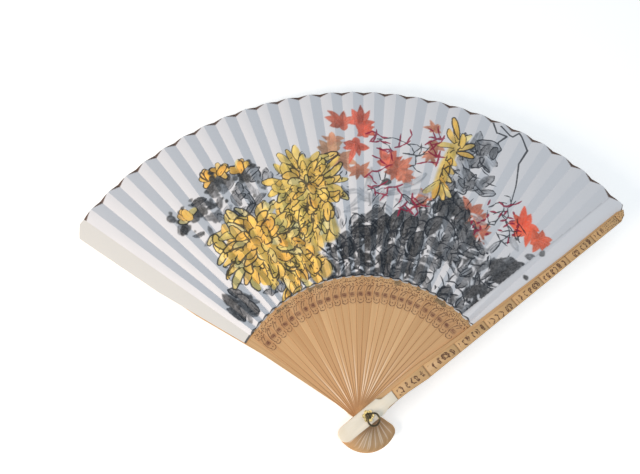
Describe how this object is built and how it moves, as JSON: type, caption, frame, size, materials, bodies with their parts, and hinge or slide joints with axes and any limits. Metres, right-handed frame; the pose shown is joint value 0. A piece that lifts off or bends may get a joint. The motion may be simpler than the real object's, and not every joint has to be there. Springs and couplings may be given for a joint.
{
  "type": "folding hand fan",
  "caption": "Open folding hand fan: thin bamboo ribs on one rivet, a pleated painted paper leaf, two guards with pale bolsters, and a small swinging ring for a tassel.",
  "frame": {"origin": "on the rivet's axis, at the rear face of the rivet's rear head", "axes": "+Z along the rivet from the rear guard to the front guard, +Y the middle of the opened fan, +X to the front guard's side"},
  "size_m": [0.4503, 0.3015, 0.0276],
  "materials": {
    "rib_bamboo": "split bamboo, planed thin and burnished, with burnt scroll ornament near the leaf",
    "guard_bamboo": "bamboo rind with nodes and burnt ornament",
    "bolster": "smooth ivory-coloured plate",
    "leaf_paper": "mulberry paper with ink and colour washes",
    "aged_brass": "darkened brass, rubbed bright on the edges"
  },
  "bodies": {
    "rear_guard": {"rear_guard": "guard_bamboo", "rear_bolster": "bolster", "leaf_pleat_00": "leaf_paper"},
    "rib_01": {"rib_01": "rib_bamboo", "leaf_pleat_01": "leaf_paper"},
    "rib_02": {"rib_02": "rib_bamboo", "leaf_pleat_02": "leaf_paper"},
    "rib_03": {"rib_03": "rib_bamboo", "leaf_pleat_03": "leaf_paper"},
    "rib_04": {"rib_04": "rib_bamboo", "leaf_pleat_04": "leaf_paper"},
    "rib_05": {"rib_05": "rib_bamboo", "leaf_pleat_05": "leaf_paper"},
    "rib_06": {"rib_06": "rib_bamboo", "leaf_pleat_06": "leaf_paper"},
    "rib_07": {"rib_07": "rib_bamboo", "leaf_pleat_07": "leaf_paper"},
    "rib_08": {"rib_08": "rib_bamboo", "leaf_pleat_08": "leaf_paper"},
    "rib_09": {"rib_09": "rib_bamboo", "leaf_pleat_09": "leaf_paper"},
    "rib_10": {"rib_10": "rib_bamboo", "leaf_pleat_10": "leaf_paper"},
    "rib_11": {"rib_11": "rib_bamboo", "leaf_pleat_11": "leaf_paper"},
    "rib_12": {"rib_12": "rib_bamboo", "leaf_pleat_12": "leaf_paper"},
    "rib_13": {"rib_13": "rib_bamboo", "leaf_pleat_13": "leaf_paper"},
    "rib_14": {"rib_14": "rib_bamboo", "leaf_pleat_14": "leaf_paper"},
    "rib_15": {"rib_15": "rib_bamboo", "leaf_pleat_15": "leaf_paper"},
    "rib_16": {"rib_16": "rib_bamboo", "leaf_pleat_16": "leaf_paper"},
    "rib_17": {"rib_17": "rib_bamboo", "leaf_pleat_17": "leaf_paper"},
    "rib_18": {"rib_18": "rib_bamboo", "leaf_pleat_18": "leaf_paper"},
    "rib_19": {"rib_19": "rib_bamboo", "leaf_pleat_19": "leaf_paper"},
    "rib_20": {"rib_20": "rib_bamboo", "leaf_pleat_20": "leaf_paper"},
    "rib_21": {"rib_21": "rib_bamboo", "leaf_pleat_21": "leaf_paper"},
    "rib_22": {"rib_22": "rib_bamboo", "leaf_pleat_22": "leaf_paper"},
    "rib_23": {"rib_23": "rib_bamboo", "leaf_pleat_23": "leaf_paper"},
    "rib_24": {"rib_24": "rib_bamboo", "leaf_pleat_24": "leaf_paper"},
    "rib_25": {"rib_25": "rib_bamboo", "leaf_pleat_25": "leaf_paper"},
    "rib_26": {"rib_26": "rib_bamboo", "leaf_pleat_26": "leaf_paper"},
    "front_guard": {"front_guard": "guard_bamboo", "front_bolster": "bolster", "front_washer": "aged_brass", "rivet": "aged_brass"},
    "tassel_ring": {"tassel_ring": "aged_brass"}
  },
  "joints": [
    {"name": "fold_01", "type": "hinge", "parent": "rear_guard", "child": "rib_01", "pos_m": [0, 0, 0], "axis": [0, 0, 1], "range_deg": [0, 4.1], "deforming": ["leaf_pleat_00"]},
    {"name": "fold_02", "type": "hinge", "parent": "rib_01", "child": "rib_02", "pos_m": [0, 0, 0], "axis": [0, 0, 1], "range_deg": [0, 4.1], "deforming": ["leaf_pleat_01"]},
    {"name": "fold_03", "type": "hinge", "parent": "rib_02", "child": "rib_03", "pos_m": [0, 0, 0], "axis": [0, 0, 1], "range_deg": [0, 4.1], "deforming": ["leaf_pleat_02"]},
    {"name": "fold_04", "type": "hinge", "parent": "rib_03", "child": "rib_04", "pos_m": [0, 0, 0], "axis": [0, 0, 1], "range_deg": [0, 4.1], "deforming": ["leaf_pleat_03"]},
    {"name": "fold_05", "type": "hinge", "parent": "rib_04", "child": "rib_05", "pos_m": [0, 0, 0], "axis": [0, 0, 1], "range_deg": [0, 4.1], "deforming": ["leaf_pleat_04"]},
    {"name": "fold_06", "type": "hinge", "parent": "rib_05", "child": "rib_06", "pos_m": [0, 0, 0], "axis": [0, 0, 1], "range_deg": [0, 4.1], "deforming": ["leaf_pleat_05"]},
    {"name": "fold_07", "type": "hinge", "parent": "rib_06", "child": "rib_07", "pos_m": [0, 0, 0], "axis": [0, 0, 1], "range_deg": [0, 4.1], "deforming": ["leaf_pleat_06"]},
    {"name": "fold_08", "type": "hinge", "parent": "rib_07", "child": "rib_08", "pos_m": [0, 0, 0], "axis": [0, 0, 1], "range_deg": [0, 4.1], "deforming": ["leaf_pleat_07"]},
    {"name": "fold_09", "type": "hinge", "parent": "rib_08", "child": "rib_09", "pos_m": [0, 0, 0], "axis": [0, 0, 1], "range_deg": [0, 4.1], "deforming": ["leaf_pleat_08"]},
    {"name": "fold_10", "type": "hinge", "parent": "rib_09", "child": "rib_10", "pos_m": [0, 0, 0], "axis": [0, 0, 1], "range_deg": [0, 4.1], "deforming": ["leaf_pleat_09"]},
    {"name": "fold_11", "type": "hinge", "parent": "rib_10", "child": "rib_11", "pos_m": [0, 0, 0], "axis": [0, 0, 1], "range_deg": [0, 4.1], "deforming": ["leaf_pleat_10"]},
    {"name": "fold_12", "type": "hinge", "parent": "rib_11", "child": "rib_12", "pos_m": [0, 0, 0], "axis": [0, 0, 1], "range_deg": [0, 4.1], "deforming": ["leaf_pleat_11"]},
    {"name": "fold_13", "type": "hinge", "parent": "rib_12", "child": "rib_13", "pos_m": [0, 0, 0], "axis": [0, 0, 1], "range_deg": [0, 4.1], "deforming": ["leaf_pleat_12"]},
    {"name": "fold_14", "type": "hinge", "parent": "rib_13", "child": "rib_14", "pos_m": [0, 0, 0], "axis": [0, 0, 1], "range_deg": [0, 4.1], "deforming": ["leaf_pleat_13"]},
    {"name": "fold_15", "type": "hinge", "parent": "rib_14", "child": "rib_15", "pos_m": [0, 0, 0], "axis": [0, 0, 1], "range_deg": [0, 4.1], "deforming": ["leaf_pleat_14"]},
    {"name": "fold_16", "type": "hinge", "parent": "rib_15", "child": "rib_16", "pos_m": [0, 0, 0], "axis": [0, 0, 1], "range_deg": [0, 4.1], "deforming": ["leaf_pleat_15"]},
    {"name": "fold_17", "type": "hinge", "parent": "rib_16", "child": "rib_17", "pos_m": [0, 0, 0], "axis": [0, 0, 1], "range_deg": [0, 4.1], "deforming": ["leaf_pleat_16"]},
    {"name": "fold_18", "type": "hinge", "parent": "rib_17", "child": "rib_18", "pos_m": [0, 0, 0], "axis": [0, 0, 1], "range_deg": [0, 4.1], "deforming": ["leaf_pleat_17"]},
    {"name": "fold_19", "type": "hinge", "parent": "rib_18", "child": "rib_19", "pos_m": [0, 0, 0], "axis": [0, 0, 1], "range_deg": [0, 4.1], "deforming": ["leaf_pleat_18"]},
    {"name": "fold_20", "type": "hinge", "parent": "rib_19", "child": "rib_20", "pos_m": [0, 0, 0], "axis": [0, 0, 1], "range_deg": [0, 4.1], "deforming": ["leaf_pleat_19"]},
    {"name": "fold_21", "type": "hinge", "parent": "rib_20", "child": "rib_21", "pos_m": [0, 0, 0], "axis": [0, 0, 1], "range_deg": [0, 4.1], "deforming": ["leaf_pleat_20"]},
    {"name": "fold_22", "type": "hinge", "parent": "rib_21", "child": "rib_22", "pos_m": [0, 0, 0], "axis": [0, 0, 1], "range_deg": [0, 4.1], "deforming": ["leaf_pleat_21"]},
    {"name": "fold_23", "type": "hinge", "parent": "rib_22", "child": "rib_23", "pos_m": [0, 0, 0], "axis": [0, 0, 1], "range_deg": [0, 4.1], "deforming": ["leaf_pleat_22"]},
    {"name": "fold_24", "type": "hinge", "parent": "rib_23", "child": "rib_24", "pos_m": [0, 0, 0], "axis": [0, 0, 1], "range_deg": [0, 4.1], "deforming": ["leaf_pleat_23"]},
    {"name": "fold_25", "type": "hinge", "parent": "rib_24", "child": "rib_25", "pos_m": [0, 0, 0], "axis": [0, 0, 1], "range_deg": [0, 4.1], "deforming": ["leaf_pleat_24"]},
    {"name": "fold_26", "type": "hinge", "parent": "rib_25", "child": "rib_26", "pos_m": [0, 0, 0], "axis": [0, 0, 1], "range_deg": [0, 4.1], "deforming": ["leaf_pleat_25"]},
    {"name": "fold_27", "type": "hinge", "parent": "rib_26", "child": "front_guard", "pos_m": [0, 0, 0], "axis": [0, 0, 1], "range_deg": [0, 4.1], "deforming": ["leaf_pleat_26"]},
    {"name": "ring_swing", "type": "hinge", "parent": "front_guard", "child": "tassel_ring", "pos_m": [0, 0, 0.0257], "axis": [-0.5686, -0.8226, 0], "range_deg": [0, 150]}
  ],
  "couplings": [
    {"joint": "fold_02", "follows": "fold_01", "ratio": 1},
    {"joint": "fold_03", "follows": "fold_01", "ratio": 1},
    {"joint": "fold_04", "follows": "fold_01", "ratio": 1},
    {"joint": "fold_05", "follows": "fold_01", "ratio": 1},
    {"joint": "fold_06", "follows": "fold_01", "ratio": 1},
    {"joint": "fold_07", "follows": "fold_01", "ratio": 1},
    {"joint": "fold_08", "follows": "fold_01", "ratio": 1},
    {"joint": "fold_09", "follows": "fold_01", "ratio": 1},
    {"joint": "fold_10", "follows": "fold_01", "ratio": 1},
    {"joint": "fold_11", "follows": "fold_01", "ratio": 1},
    {"joint": "fold_12", "follows": "fold_01", "ratio": 1},
    {"joint": "fold_13", "follows": "fold_01", "ratio": 1},
    {"joint": "fold_14", "follows": "fold_01", "ratio": 1},
    {"joint": "fold_15", "follows": "fold_01", "ratio": 1},
    {"joint": "fold_16", "follows": "fold_01", "ratio": 1},
    {"joint": "fold_17", "follows": "fold_01", "ratio": 1},
    {"joint": "fold_18", "follows": "fold_01", "ratio": 1},
    {"joint": "fold_19", "follows": "fold_01", "ratio": 1},
    {"joint": "fold_20", "follows": "fold_01", "ratio": 1},
    {"joint": "fold_21", "follows": "fold_01", "ratio": 1},
    {"joint": "fold_22", "follows": "fold_01", "ratio": 1},
    {"joint": "fold_23", "follows": "fold_01", "ratio": 1},
    {"joint": "fold_24", "follows": "fold_01", "ratio": 1},
    {"joint": "fold_25", "follows": "fold_01", "ratio": 1},
    {"joint": "fold_26", "follows": "fold_01", "ratio": 1},
    {"joint": "fold_27", "follows": "fold_01", "ratio": 1}
  ]
}
